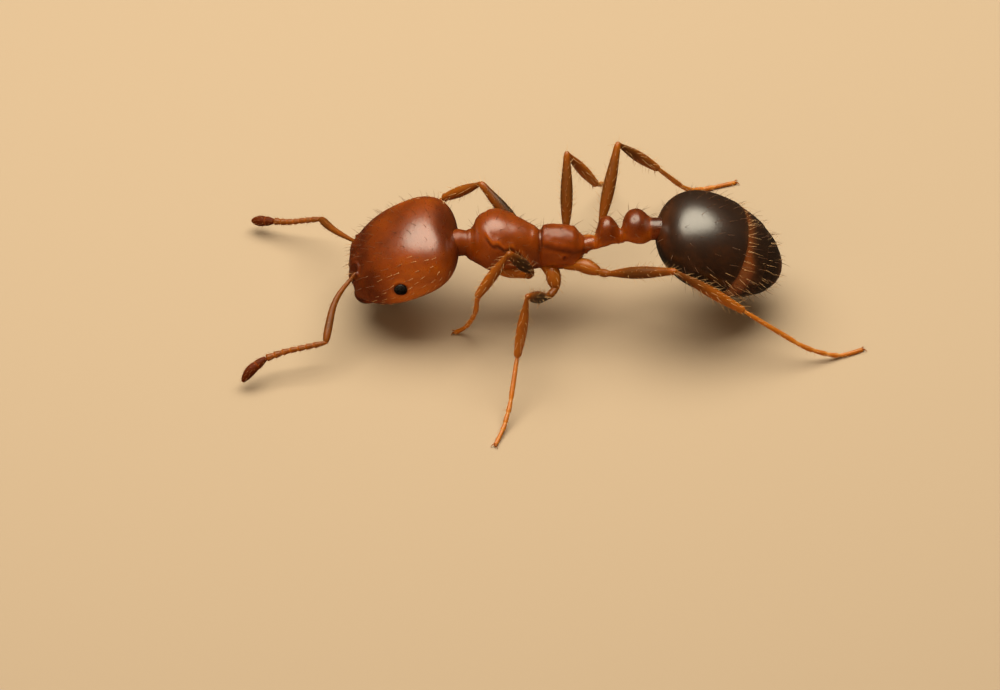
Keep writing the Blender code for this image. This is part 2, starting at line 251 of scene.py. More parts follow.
def blotches(start, place, size, detail=2):
    """Soft noise from 0 to 1, in blotches of about the given size."""
    inputs = {"Vector": place, "Scale": 1 / (size * MM), "Detail": detail}
    return start.add("ShaderNodeTexNoise", None, inputs)


def shell_material(name, tones, roughness=0.28, grain=0.010, relief=0.0008, glow=0.15, gloss=1.0, coat=0.0):
    """Shell whose colour follows each plate's own tone, with a fine grain that softens its shine."""
    material, shader, start = new_material(name)
    place = start.add("ShaderNodeTexCoord", output="Object")
    tone = start.add("ShaderNodeAttribute", {"attribute_name": "tone"}, output="Fac")
    cloud = blotches(start, place, CLOUD_SIZE, 3)
    mottle = blotches(start, place, MOTTLE_SIZE)
    fine = blotches(start, place, grain)
    feed_colours(shader, tones, tone + (cloud - 0.5) * 0.20 + (mottle - 0.5) * 0.08)
    feed(shader, "Roughness", roughness - 0.06 + (mottle * 0.4 + fine * 0.6) * 0.14)
    height = fine * 0.7 + mottle * 0.8
    bump = start.add("ShaderNodeBump", None, {"Height": height, "Distance": relief * MM, "Strength": 1.0})
    feed(shader, "Normal", bump)
    shader.inputs["Specular IOR Level"].default_value = gloss
    shader.inputs["Coat Weight"].default_value = coat
    shader.inputs["Coat Roughness"].default_value = roughness
    shader.inputs["Subsurface Weight"].default_value = glow
    shader.inputs["Subsurface Radius"].default_value = GLOW_SPREAD
    shader.inputs["Subsurface Scale"].default_value = GLOW_REACH * MM
    return material


def rounding(share, power):
    """1 at share 0 and 0 at share 1, falling as the side of a rounded end does."""
    return max(0.0, 1 - min(share, 1.0) ** power) ** (1 / power)


def near(value, middle_value, reach):
    """1 at the middle value, fading smoothly to nothing at about twice the reach from it."""
    return math.exp(-(((value - middle_value) / reach) ** 2))


def in_head(across, forward, up):
    """A place in the head's own frame, in the ant's."""
    return head_centre + (across_ant * across + ahead * forward + crownward * up) * MM


def step_up(value, low, high):
    """0 below the low value and 1 above the high one, with a smooth rise between."""
    share = max(0.0, min(1.0, (value - low) / (high - low)))
    return share * share * (3 - 2 * share)


def head_relief(across, forward, up):
    """How far the capsule's features stand out of its plain form."""
    side = abs(across)
    relief = -0.010 * near(across, 0, 0.12) * near(forward, -0.51, 0.07)  # notch of the hind margin
    if up > 0 and forward > 0.02:
        relief -= 0.004 * near(across, 0, 0.012) * near(forward, 0.24, 0.14)  # line down the brow
        relief += 0.028 * near(side, 0.095, 0.045) * near(forward, 0.405, 0.065)  # lobes over the sockets
        relief -= 0.010 * near(side, 0, 0.035) * near(forward, 0.420, 0.070)
        relief += 0.005 * near(side, 0.090 + (0.36 - forward) * 0.35, 0.022) * near(forward, 0.30, 0.08)
        from_socket = math.hypot(side - FEELER_SOCKET.x, forward - FEELER_SOCKET.y)
        relief -= 0.022 * near(from_socket, 0, 0.032)
        relief += 0.014 * near(from_socket, 0.056, 0.014)
        relief -= 0.007 * near(side, 0.225, 0.040) * near(forward, 0.340, 0.060)
        outward_run = 0.90 * (side - 0.240) - 0.43 * (forward - 0.385)
        from_ridge = 0.43 * (side - 0.240) + 0.90 * (forward - 0.385)
        relief += 0.014 * near(from_ridge, 0, 0.014) * near(outward_run, 0, 0.045)  # edge beside each socket
    if forward > 0.36:
        relief += 0.010 * near(side, 0, 0.13) * near(up, 0.030, 0.070)  # swell of the shield over the mouth
        relief += 0.016 * near(side, 0.070, 0.015) * near(up, 0.025, 0.080)  # its two keels
        relief -= 0.012 * near(side, 0.190, 0.016) * near(up, 0.030, 0.090)
        relief += 0.022 * near(side, 0.285, 0.050) * near(up, -0.020, 0.050)  # hinges of the jaws
    relief += 0.010 * near(forward, 0.34, 0.06) * near(up, -0.02, 0.05) * step_up(side, 0.30, 0.36)
    from_eye = math.hypot((forward - EYE_FORWARD) / EYE_HALF_LENGTH, (up - EYE_UP) / EYE_HALF_HEIGHT)
    if side > 0.35:
        relief -= 0.010 * near(from_eye, 1.02, 0.14)
        relief += 0.004 * near(from_eye, 1.38, 0.20)
    return relief


def head_tone(across, forward, up):
    """Dark in front and round the sockets and eyes, with painted shade on the crown and hind margin and
    painted light low on the cheeks.
    """
    side = abs(across)
    tone = 0.48
    tone += 0.15 * step_up(forward + 0.10 * side, 0.05, 0.34)
    # Painted shade along the hind margin.
    tone += 0.24 * step_up(-forward, 0.37, 0.52)
    # Painted light, paler low on the cheeks.
    tone -= 0.22 * near(forward, -0.02, 0.30) * near(up, -0.08, 0.16) * step_up(side, 0.2, 0.4)
    # Painted shade on the crown, behind the brow.
    tone += 0.08 * step_up(up, 0.10, 0.32) * step_up(0.30 - forward, 0.0, 0.25)
    tone += 0.06 * step_up(up, 0.06, 0.22) * near(side, 0.42, 0.11) * step_up(forward, -0.12, 0.06)
    tone += 0.07 * step_up(up, 0.02, 0.12) * near(forward, 0.28, 0.10)
    # Painted shade over the middle of the crown and along its top edge.
    tone += 0.05 * step_up(up, 0.16, 0.32) * near(side, 0, 0.30)
    tone += 0.04 * step_up(up, 0.24, 0.38) * near(forward, -0.10, 0.25)
    tone += 0.10 * near(forward, 0.24, 0.10) * near(up, 0.03, 0.08) * step_up(side, 0.2, 0.4)
    tone -= 0.06 * near(forward, -0.12, 0.10) * near(up, 0.27, 0.07) * near(side, 0.35, 0.10)
    # A painted dark reflection below the highlight, behind each eye.
    tone += 0.10 * near(forward, -0.33, 0.10) * near(up, 0.17, 0.08) * near(side, 0.38, 0.10)
    from_socket = math.hypot(side - FEELER_SOCKET.x, forward - FEELER_SOCKET.y)
    if up > 0:
        tone += 0.06 * near(from_socket, 0, 0.06)
    from_eye = math.hypot((forward - EYE_FORWARD) / EYE_HALF_LENGTH, (up - EYE_UP) / EYE_HALF_HEIGHT)
    if side > 0.35:
        tone += 0.12 * near(from_eye, 1.0, 0.12)
        tone -= 0.05 * near(forward, 0.13, 0.05) * near(up, 0.04, 0.05)
    return tone


def add_object(bm, name, material, slot, *replaced):
    """A finished piece that rides on the ant and stands for its solids."""
    mesh = bpy.data.meshes.new(name)
    bm.to_mesh(mesh)
    bm.free()
    mesh.shade_smooth()
    mesh.materials.append(material)
    piece = put_in_scene(name, mesh)
    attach(piece, "root")
    if replaced:
        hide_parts(*replaced)
    return piece


def unit_ball(detail):
    bm = bmesh.new()
    bmesh.ops.create_icosphere(bm, subdivisions=detail, radius=1)
    return bm


def make_head():
    bm = unit_ball(HEAD_DETAIL)
    tone = bm.verts.layers.float.new("tone")
    around = bm.verts.layers.float.new("around")
    along = bm.verts.layers.float.new("along")
    for vert in bm.verts:
        across, forward, up = vert.co
        girth = math.hypot(across, up) or 1
        vert[around] = math.atan2(across, up) / math.tau + 0.5
        vert[along] = math.acos(max(-1, min(1, forward))) / math.pi
        front = forward > 0
        length = HEAD_FRONT_LENGTH if front else HEAD_REAR_LENGTH
        powers = HEAD_FRONT_POWERS if front else HEAD_REAR_POWERS
        width = HEAD_HALF_WIDTH * rounding(abs(forward), powers[0])
        tall = rounding(abs(forward), powers[1])
        centre = (CROWN_HEIGHT - THROAT_DEPTH) / 2 * tall
        height = (CROWN_HEIGHT + THROAT_DEPTH) / 2 * tall
        vert.co = (width * across / girth, HEAD_WIDEST + length * forward, centre + height * up / girth)
    bm.normal_update()
    reliefs = [head_relief(*vert.co) for vert in bm.verts]
    for vert, relief in zip(bm.verts, reliefs):
        vert[tone] = head_tone(*vert.co)
        vert.co += vert.normal * relief
    mouth = [vert for vert in bm.verts if vert.co.y > MOUTH_REAR and vert.co.z < MOUTH_SHELF]
    for vert in mouth:
        depth = min(1, (MOUTH_SHELF - vert.co.z) / MOUTH_TURN)
        vert.co.y += (MOUTH_REAR - vert.co.y) * depth
    bmesh.ops.smooth_vert(bm, verts=mouth, factor=0.5, use_axis_x=True, use_axis_y=True, use_axis_z=True)
    for vert in bm.verts:
        vert.co = in_head(*vert.co)
    # The head's frame is left-handed, so the mapping turned every face round.
    bmesh.ops.reverse_faces(bm, faces=bm.faces)
    return add_object(bm, "head_shell", shell_material("head_shell", SHELL_TONES), "body_shell", "head")


head_shell = make_head()

# ---- Eyes ----
# Two low black domes, each set in a shallow groove of the capsule and paved with small lenses in rows.

EYE_DETAIL = 4
LENS_PITCH = 0.0118
LENS_ROW_PITCH = 0.866 * LENS_PITCH  # rows in the pattern of a honeycomb
LENS_HALF_WIDTH = 0.52 * LENS_PITCH
LENS_BULGE = 0.0026
LENS_LIMIT = 0.86  # lenses stop short of the rim, which is at 1
CLOUDING_SIZE = 0.03

eye_black, eye_shader, eye_start = new_material("eye_black")
eye_place = eye_start.add("ShaderNodeTexCoord", output="Object")
eye_cloud = blotches(eye_start, eye_place, CLOUDING_SIZE)
feed_colours(eye_shader, ((0.35, (0.003, 0.003, 0.003)), (0.75, (0.014, 0.009, 0.007))), eye_cloud)
feed(eye_shader, "Roughness", 0.36 + eye_cloud * 0.14)


def make_eye(side, sign):
    across = middle(f"eye_{side}").x - head_centre.x
    bm = unit_ball(EYE_DETAIL)
    half_sizes = (EYE_HALF_DEPTH, EYE_HALF_LENGTH, EYE_HALF_HEIGHT)
    bmesh.ops.scale(bm, vec=half_sizes, verts=bm.verts)
    rows = int(EYE_HALF_HEIGHT / LENS_ROW_PITCH)
    columns = int(EYE_HALF_LENGTH / LENS_PITCH) + 1
    for row in range(-rows, rows + 1):
        for column in range(-columns, columns + 1):
            forward = (column + 0.5 * (row % 2)) * LENS_PITCH
            up = row * LENS_ROW_PITCH
            spread = (forward / EYE_HALF_LENGTH) ** 2 + (up / EYE_HALF_HEIGHT) ** 2
            if spread > LENS_LIMIT:
                continue
            depth = sign * EYE_HALF_DEPTH * math.sqrt(1 - spread)
            outward = Vector([offset / half**2 for offset, half in zip((depth, forward, up), half_sizes)])
            turn = outward.to_track_quat("Z", "Y").to_matrix().to_4x4()
            flat = Matrix.Diagonal((LENS_HALF_WIDTH, LENS_HALF_WIDTH, LENS_BULGE, 1))
            place = Matrix.Translation((depth, forward, up)) @ turn @ flat
            bmesh.ops.create_icosphere(bm, subdivisions=1, radius=1, matrix=place)
    for vert in bm.verts:
        vert.co = head_centre + across_ant * (across + vert.co.x * MM) + (
            ahead * (EYE_FORWARD + vert.co.y) + crownward * (EYE_UP + vert.co.z)
        ) * MM
    bmesh.ops.reverse_faces(bm, faces=bm.faces)
    return add_object(bm, f"eye_dome_{side}", eye_black, "eye", f"eye_{side}")


for side, sign in (("left", 1), ("right", -1)):
    make_eye(side, sign)

# ---- Jaws ----
# A pair of thick dark blades, hinged at the front corners of the capsule and closed under its shelf. Each
# bears a row of blunt teeth on the edge that meets its fellow.

JAW_TEETH = 4
TOOTH_SIDES = 12
TOOTH_ROOT_RADIUS = 0.020
TOOTH_TIP_RADIUS = 0.004
SAME_CORNER = 0.0005
FLAT_ENOUGH = 0.8  # between two triangles of one face, in radians
SQUARE_ENOUGH = 3.2  # lets every pair pass


def smoothed(bm, levels):
    """The same form with its facets rounded off."""
    mesh = bpy.data.meshes.new("cage")
    bm.to_mesh(mesh)
    bm.free()
    cage = put_in_scene("cage", mesh)
    rounder = cage.modifiers.new("rounder", "SUBSURF")
    rounder.levels = rounder.render_levels = levels
    fine = bpy.data.meshes.new_from_object(cage.evaluated_get(bpy.context.evaluated_depsgraph_get()))
    bm = bmesh.new()
    bm.from_mesh(fine)
    bpy.data.objects.remove(cage)
    bpy.data.meshes.remove(mesh)
    bpy.data.meshes.remove(fine)
    return bm


def make_jaw(side, sign, material):
    bm = bmesh.new()
    bm.from_mesh(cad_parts[f"mandible_{side}"].data)
    bmesh.ops.remove_doubles(bm, verts=bm.verts, dist=SAME_CORNER * MM)
    bmesh.ops.join_triangles(bm, faces=bm.faces, angle_face_threshold=FLAT_ENOUGH,
                             angle_shape_threshold=SQUARE_ENOUGH)
    bm = smoothed(bm, 3)
    tone = bm.verts.layers.float.new("tone")
    for step in range(JAW_TEETH):
        share = step / (JAW_TEETH - 1)
        root = in_head(sign * (0.030 + 0.10 * share), 0.515 - 0.02 * share, -0.128 - 0.03 * (1 - share))
        point = in_head(sign * (0.004 + 0.05 * share), 0.440 + 0.01 * share, -0.150)
        direction = point - root
        turn = direction.to_track_quat("Z", "Y").to_matrix().to_4x4()
        place = Matrix.Translation(root.lerp(point, 0.5)) @ turn
        bmesh.ops.create_cone(bm, segments=TOOTH_SIDES, radius1=TOOTH_ROOT_RADIUS * MM,
                              radius2=TOOTH_TIP_RADIUS * MM, depth=direction.length, cap_ends=True,
                              matrix=place)
    for vert in bm.verts:
        forward = (vert.co - head_centre).dot(ahead) / MM
        vert[tone] = 0.62 + 0.14 * near(forward, 0.52, 0.05)
    return add_object(bm, f"jaw_{side}", material, "jaw_shell", f"mandible_{side}")


jaw_shell = shell_material("jaw_shell", SHELL_TONES, roughness=0.28, grain=0.008)
for side, sign in (("left", 1), ("right", -1)):
    make_jaw(side, sign, jaw_shell)

# ---- Feelers ----
# Each is a long scape, an elbow, a string of seven small beads and a club of two large ones, all of thin
# orange shell with paler joints.

LIMB_SLICES = 11
SLICE_MARGIN = 0.07  # the mitred ends aren't sliced
RING_SIDES = 16
LOFT_SCALE = 1e6
HEADING_REACH = 0.03  # the share of a line, before and after a place, that gives its heading
JOINT_REACH = 0.018  # the share of a limb over which the skin of a joint pales
SCAPE_GIRTHS = (  # (share of the length, times the solid's radius)
    (-0.05, 0.7), (-0.02, 1.05), (0.01, 1.1), (0.04, 0.8), (0.10, 0.85), (0.3, 1.0), (0.5, 1.0),
    (0.7, 1.02), (0.85, 1.04), (0.95, 1.0), (0.99, 0.75), (1.01, 0.4),
)
CLUB_GIRTHS = (
    (0.0, 0.60), (0.03, 0.72), (0.12, 0.88), (0.24, 1.00), (0.33, 1.06), (0.365, 0.96), (0.40, 1.03),
    (0.55, 1.14), (0.72, 1.14), (0.86, 1.06), (0.95, 0.84), (0.99, 0.54), (1.0, 0.30),
)
FUNICLE_BEADS = (0.0, 0.20, 0.33, 0.46, 0.59, 0.72, 0.86, 1.0)
CLUB_BEADS = (0.0, 0.36, 1.0)

LIMB_TONES = (  # from pale skin to dusky brown shell; tones fed in include painted shade on the thighs and hind shins
    (0.00, (0.700, 0.380, 0.110)),
    (0.22, (0.540, 0.170, 0.010)),
    (0.42, (0.310, 0.082, 0.003)),
    (0.62, (0.155, 0.044, 0.003)),
    (0.80, (0.062, 0.027, 0.009)),
    (1.00, (0.028, 0.016, 0.008)),
)


def joint(first, second, corners=12):
    """The middle of the ring where the first limb solid faces the second."""
    tree = KDTree(len(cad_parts[second].data.vertices))
    for number, vert in enumerate(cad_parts[second].data.vertices):
        tree.insert(vert.co, number)
    tree.balance()
    corner_set = {tuple(vert.co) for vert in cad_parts[first].data.vertices}
    nearest = sorted(corner_set, key=lambda place: tree.find(place)[2])[:corners]
    return sum((Vector(place) for place in nearest), Vector()) / corners


def far_end(node, place, corners=12):
    """The middle of the end of a limb solid that is farthest from a place."""
    corner_set = {tuple(vert.co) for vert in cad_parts[node].data.vertices}
    farthest = sorted(corner_set, key=lambda corner: -(Vector(corner) - place).length)[:corners]
    return sum((Vector(corner) for corner in farthest), Vector()) / corners


class Line:
    """The middle line and girth of a limb solid, from one end to the other."""

    def __init__(self, node, start, end):
        heading = (end - start).normalized()
        places = [start]
        rings = []
        for step in range(LIMB_SLICES):
            share = SLICE_MARGIN + (1 - 2 * SLICE_MARGIN) * step / (LIMB_SLICES - 1)
            bm = bmesh.new()
            bm.from_mesh(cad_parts[node].data)
            everything = bm.verts[:] + bm.edges[:] + bm.faces[:]
            place = start.lerp(end, share)
            cut = bmesh.ops.bisect_plane(bm, geom=everything, plane_co=place, plane_no=heading)
            rings.append([item.co.copy() for item in cut["geom_cut"] if isinstance(item, bmesh.types.BMVert)])
            bm.free()
            places.append(sum(rings[-1], Vector()) / len(rings[-1]))
        places.append(end)
        radii = []
        for step, ring in enumerate(rings, 1):
            way = (places[step + 1] - places[step - 1]).normalized()
            radii.append(sum(((co - places[step]).cross(way)).length for co in ring) / len(ring))
        self.places = places
        self.radii = [radii[0], *radii, radii[-1]]
        self.walked = [0.0]
        for first, second in zip(places, places[1:]):
            self.walked.append(self.walked[-1] + (second - first).length)
        self.length = self.walked[-1]

    def at(self, share):
        """(place, radius) at a share of the length; past the ends the line runs straight on."""
        along = share * self.length
        step = max(number for number in range(len(self.places) - 1) if self.walked[number] <= max(along, 0))
        part = (along - self.walked[step]) / (self.walked[step + 1] - self.walked[step])
        radius = self.radii[step] + (self.radii[step + 1] - self.radii[step]) * max(0, min(1, part))
        return self.places[step].lerp(self.places[step + 1], part), radius


def loft(rings, sides):
    """Skins rings of (centre, half width vector, half height vector), with a flat cap at each end."""
    bm = bmesh.new()
    around = bm.verts.layers.float.new("around")
    along = bm.verts.layers.float.new("along")
    loops = []
    for number, (centre, across, up) in enumerate(rings):
        normal = across.cross(up).normalized()
        # Drawn a million times as large, since loops this small are joined wrongly.
        place = Matrix((across * LOFT_SCALE, up * LOFT_SCALE, normal)).transposed().to_4x4()
        place.translation = centre * LOFT_SCALE
        verts = bmesh.ops.create_circle(bm, segments=sides, radius=1, matrix=place)["verts"]
        for corner, vert in enumerate(verts):
            vert[around] = corner / sides
            vert[along] = number / (len(rings) - 1)
        loops.append(list({edge for vert in verts for edge in vert.link_edges}))
    bmesh.ops.contextual_create(bm, geom=loops[0])
    bmesh.ops.contextual_create(bm, geom=loops[-1])
    for first, second in zip(loops, loops[1:]):
        bmesh.ops.bridge_loops(bm, edges=first + second)
    bmesh.ops.recalc_face_normals(bm, faces=bm.faces)
    bmesh.ops.scale(bm, vec=[1 / LOFT_SCALE] * 3, verts=bm.verts)
    return bm


limb_ends = {}


def make_limb(name, node, line, girths, tone_at, material, levels=1, dusky_shaded_side=None, dusk_and_shade=0.0):
    """A tube along a limb's line, over its solid.

    `girths` are (share of the length, times the solid's radius) from end to end. The side that faces the
    given direction is darker by the given amount in the middle, as dusky shell and painted shade.
    """
    first = line.at(girths[0][0])[0]
    last = line.at(girths[-1][0])[0]
    limb_ends[name] = (first, last)
    side_way = (last - first).orthogonal().normalized()
    rings = []
    for share, times in girths:
        centre, radius = line.at(share)
        way = (line.at(share + HEADING_REACH)[0] - line.at(share - HEADING_REACH)[0]).normalized()
        side_way = (side_way - side_way.dot(way) * way).normalized()
        rings.append((centre, side_way * radius * times, way.cross(side_way) * radius * times))
    bm = smoothed(loft(rings, RING_SIDES), levels)
    tone = bm.verts.layers.float.new("tone")
    along = bm.verts.layers.float["along"]
    bm.normal_update()
    shares = [share for share, _ in girths]
    for vert in bm.verts:
        step = min(int(vert[along] * (len(shares) - 1)), len(shares) - 2)
        part = vert[along] * (len(shares) - 1) - step
        share = shares[step] + (shares[step + 1] - shares[step]) * part
        vert[tone] = tone_at(share)
        # Dusky brown on the upper outer side, partly the shell's own colour and partly painted shade.
        if dusky_shaded_side:
            vert[tone] += dusk_and_shade * near(share, 0.56, 0.38) * step_up(vert.normal.dot(dusky_shaded_side), -0.5, 0.4)
        vert.co.z = max(vert.co.z, 0)
    return add_object(bm, name, material, "limb_shell", node)


def beads(bounds, waist_girth=0.70, swell=1.10):
    """Girths of a string of segments, each narrow at its base and widest near its end."""
    middle_girth = (waist_girth + swell) / 2
    segment = ((0.02, waist_girth), (0.14, middle_girth), (0.45, 1.0), (0.75, swell), (0.93, swell))
    girths = [(bounds[0] - 0.04, waist_girth * 0.8)]
    for start, end in zip(bounds, bounds[1:]):
        for part, times in segment:
            girths.append((start + (end - start) * part, times))
    girths.append((bounds[-1], 0.35))
    return girths


def bead_tone(bounds, deep, pale):
    """Deep shell along each segment and pale skin at the joints."""
    return lambda share: deep - (deep - pale) * max(near(share, bound, JOINT_REACH) for bound in bounds)


def scape_tone(share):
    """Evenly orange, a little deeper towards the elbow."""
    return 0.55 + 0.08 * near(share, 0.7, 0.2)


feeler_shell = shell_material("feeler_shell", LIMB_TONES, roughness=0.38, grain=0.006, glow=0.20, gloss=0.35)
club_shell = shell_material("club_shell", SHELL_TONES, roughness=0.52, grain=0.006, glow=0.20, gloss=0.12)
feeler_pieces = []
for side in ("left", "right"):
    elbow = joint(f"{side}_scape", f"{side}_funicle")
    club_root = joint(f"{side}_funicle", f"{side}_club")
    socket = far_end(f"{side}_scape", elbow)
    tip = far_end(f"{side}_club", club_root)
    scape = Line(f"{side}_scape", socket, elbow)
    funicle = Line(f"{side}_funicle", elbow, club_root)
    club = Line(f"{side}_club", club_root, tip)
    feeler_pieces += [
        make_limb(f"{side}_scape_shell", f"{side}_scape", scape, SCAPE_GIRTHS, scape_tone, feeler_shell),
        make_limb(f"{side}_funicle_beads", f"{side}_funicle", funicle, beads(FUNICLE_BEADS, 0.76, 1.10),
                  bead_tone(FUNICLE_BEADS, 0.53, 0.40), feeler_shell, levels=2),
        make_limb(f"{side}_club_beads", f"{side}_club", club, CLUB_GIRTHS,
                  bead_tone(CLUB_BEADS, 0.73, 0.58), club_shell, levels=2),
    ]

# ---- Trunk and waist ----
# Five rings of hard amber shell: the narrow collar, the humped front of the trunk, the boxy rear of it behind
# a groove, and the two knots of the waist. Seams between the side plates show as fine grooves.

TRUNK_SIDES = 48
ROW_STEPS = 5  # rings between two rings of the solid
SAME_ROW = 0.003 * MM
WHOLE_RING = 12  # a ring has more corners than this where no neighbour cuts it
TUCKED_END = (0.03, 1.0)  # how far a plate runs on past its solid, and at how many times the end's girth
BREATHING_HOLE = (0.225, 0.745)  # how far behind the groove and above the floor


def solid_rows(node):
    """(distance back, height, half width, half height) of each whole upright ring of a midline solid."""
    corners = sorted({tuple(vert.co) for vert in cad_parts[node].data.vertices}, key=lambda co: co[1])
    groups = [[corners[0]]]
    for corner in corners[1:]:
        if corner[1] - groups[-1][-1][1] > SAME_ROW:
            groups.append([])
        groups[-1].append(corner)
    rows = []
    for group in groups:
        xs = [corner[0] for corner in group]
        zs = [corner[2] for corner in group]
        height = (min(zs) + max(zs)) / 2
        eighths = {int(math.atan2(z - height, x - waist.x) // (math.pi / 4)) for x, z in zip(xs, zs)}
        if len(group) > WHOLE_RING and len(eighths) >= 8:
            rows.append(Vector((group[0][1], height, (max(xs) - min(xs)) / 2, (max(zs) - min(zs)) / 2)))
    return rows


def smooth_run(rows, steps):
    """Rows between the given ones, on a curve that passes through each of them."""
    ends = [2 * rows[0] - rows[1], *rows, 2 * rows[-1] - rows[-2]]
    run = [rows[0]]
    for before, start, end, after in zip(ends, ends[1:], ends[2:], ends[3:]):
        for step in range(1, steps + 1):
            t = step / steps
            lift = (end - before) * t + (2 * before - 5 * start + 4 * end - after) * t**2
            run.append(0.5 * (2 * start + lift + (3 * start - before - 3 * end + after) * t**3))
    return run


def make_plate(name, node, relief, tone_at, material, front=TUCKED_END, rear=TUCKED_END):
    """A midline plate over its solid, run on at each end so that it tucks into its neighbour."""
    rows = solid_rows(node)
    for index, (reach, times) in ((0, front), (-1, rear)):
        end = rows[index].copy()
        end.x += (reach if index else -reach) * MM
        end.z *= times
        end.w *= times
        rows.insert(len(rows) if index else 0, end)
    rings = []
    for back, height, half_width, half_height in smooth_run(rows, ROW_STEPS):
        centre = Vector((waist.x, back, height))
        rings.append((centre, Vector((half_width, 0, 0)), Vector((0, 0, half_height))))
    bm = smoothed(loft(rings, TRUNK_SIDES), 1)
    tone = bm.verts.layers.float.new("tone")
    bm.normal_update()
    for vert in bm.verts:
        place = (vert.co - waist) / MM
        vert[tone] = tone_at(place)
        vert.co += vert.normal * relief(place) * MM
    return add_object(bm, name, material, "body_shell", node)


def collar_relief(place):
    """Swollen next to the head and slightly drawn in before the trunk."""
    return 0.012 * near(place.y, -0.735, 0.035) - 0.006 * near(place.y, -0.665, 0.020)


def side_lines(place):
    """Distances from the two seams on the side of the hump, each with where it can be seen.

    They are the lower margin of the first plate, which falls to the rear, and the slanting seam behind it.
    """
    flank = step_up(abs(place.x), 0.08, 0.16)
    margin = place.z - 0.90 + 0.40 * (place.y + 0.225) + 0.010 * math.sin(place.y * 55)
    seam = place.y + 0.21 + (place.z - 0.88) * 0.55
    first_plate = flank * step_up(place.y, -0.53, -0.44) * step_up(-place.y, 0.19, 0.25)
    return margin, first_plate, seam, flank * step_up(0.90 - place.z, 0, 0.06) * step_up(-place.y, 0.03, 0.08)


def thorax_relief(place):
    """The hump's seams, side plates and the edge of the groove behind it."""
    margin, plate, seam, below = side_lines(place)
    relief = -0.012 * near(place.y, 0.0, 0.018) * step_up(place.z, 0.70, 0.86)
    relief += 0.008 * near(place.y, -0.055, 0.025) * near(place.z, 0.92, 0.05)
    relief += (0.010 * near(margin, 0.016, 0.018) - 0.012 * near(margin, -0.020, 0.016)) * plate
    relief += (0.006 * near(seam, 0.030, 0.018) - 0.012 * near(seam, 0, 0.015)) * below
    if abs(place.x) > 0.06:
        relief += 0.012 * near(place.y, -0.10, 0.06) * near(place.z, 0.70, 0.050)
        relief += 0.010 * near(place.y, -0.46, 0.06) * near(place.z, 0.66, 0.07)
    return relief + 0.0016 * noise.noise(place * 11)


def above_shoulder(place):
    """Height over the edge between the top and the flank of the boxy rear of the trunk."""
    return place.z - 0.872 + 0.25 * (place.y - 0.16)


def from_breathing_hole(place):
    return math.hypot(place.y - BREATHING_HOLE[0], place.z - BREATHING_HOLE[1])


def propodeum_relief(place):
    """Flat top with rounded shoulders, breathing holes, and the bulb low at each rear corner."""
    side = abs(place.x)
    flank = step_up(side, 0.08, 0.14)
    relief = -0.012 * near(place.y, 0.0, 0.018) * step_up(place.z, 0.70, 0.86)
    relief -= 0.008 * near(side, 0, 0.075) * near(place.y, 0.15, 0.16) * step_up(place.z, 0.84, 0.90)
    relief += 0.005 * noise.noise(place * 15)
    shoulder = above_shoulder(place)
    relief += 0.012 * near(shoulder, 0, 0.026) * near(place.y, 0.17, 0.13) * flank
    relief -= 0.012 * near(shoulder, -0.050, 0.020) * near(place.y, 0.17, 0.13) * flank
    relief += 0.010 * near(place.y, 0.305, 0.030) * near(place.z, 0.86, 0.06)  # edge above the hind face
    from_hole = from_breathing_hole(place)
    if side > 0.10:
        relief += 0.010 * near(from_hole, 0.026, 0.010) - 0.020 * near(from_hole, 0, 0.012)
        relief += 0.024 * near(place.y, 0.310, 0.050) * near(place.z, 0.650, 0.045)
        relief -= 0.012 * near(place.z - 0.60 - 0.2 * place.y, 0, 0.014) * step_up(0.26 - place.y, 0, 0.06)
        ridge = math.sin((place.z - place.y * 0.3) / 0.0045)
        relief += 0.0014 * ridge * near(place.z, 0.61, 0.05)
    return relief


def petiole_relief(place):
    """A slight ring round the stalk and the keel under it."""
    relief = 0.004 * near(place.y, 0.43, 0.02)
    if place.z < 0.78:
        relief += 0.016 * near(place.y, 0.455, 0.030) * near(place.x, 0, 0.022)
    return relief


def plain_relief(place):
    return 0.0


def trunk_tone(place):
    """Amber, darker on top and in front, with painted shade underneath, in the groove and in the seams, and
    painted highlights along the seams' edges.
    """
    tone = 0.53
    # Painted shade in the groove.
    tone += 0.12 * near(place.y, 0.0, 0.022) * step_up(place.z, 0.70, 0.86)
    tone += 0.04 * step_up(place.z, 0.84, 0.98)
    # Painted shade underneath.
    tone += 0.10 * step_up(0.60 - place.z, 0, 0.10)
    tone += 0.08 * step_up(-place.y, 0.58, 0.66)
    margin, plate, seam, below = side_lines(place)
    # Painted shade in the two side seams and painted highlights along their edges.
    tone += (0.16 * near(margin, -0.020, 0.016) - 0.20 * near(margin, 0.006, 0.014)) * plate
    return tone + (0.16 * near(seam, 0, 0.014) - 0.14 * near(seam, 0.030, 0.018)) * below


def propodeum_tone(place):
    """As the hump, a little darker on top, with painted shade in the groove under each shoulder and in the
    breathing holes, and painted highlights on the bulbs.
    """
    from_hole = from_breathing_hole(place)
    shoulder = above_shoulder(place)
    # Painted shade in the breathing holes.
    tone = trunk_tone(place) + 0.04 * step_up(shoulder, -0.03, 0.02) + 0.20 * near(from_hole, 0, 0.014)
    # Painted shade in the groove under each shoulder.
    tone += 0.12 * near(shoulder, -0.050, 0.020)
    # A painted highlight on each bulb.
    return tone - 0.10 * near(place.y, 0.310, 0.05) * near(place.z, 0.65, 0.05)


def petiole_tone(place):
    """Dark on top of the knot and at the front of its stalk, paler low at its rear."""
    tone = 0.42 + 0.22 * step_up(place.z, 0.84, 1.00) + 0.14 * step_up(-place.y, -0.52, -0.44)
    return tone - 0.08 * near(place.y, 0.69, 0.05) * step_up(1.0 - place.z, 0, 0.1)


def postpetiole_tone(place):
    """Dark on top and at the rear end, a little paler just before that end."""
    tone = 0.44 + 0.24 * step_up(place.z, 0.96, 1.10) + 0.22 * step_up(place.y, 0.985, 1.03)
    return tone - 0.06 * near(place.y, 0.93, 0.05) * near(place.z, 0.92, 0.08)


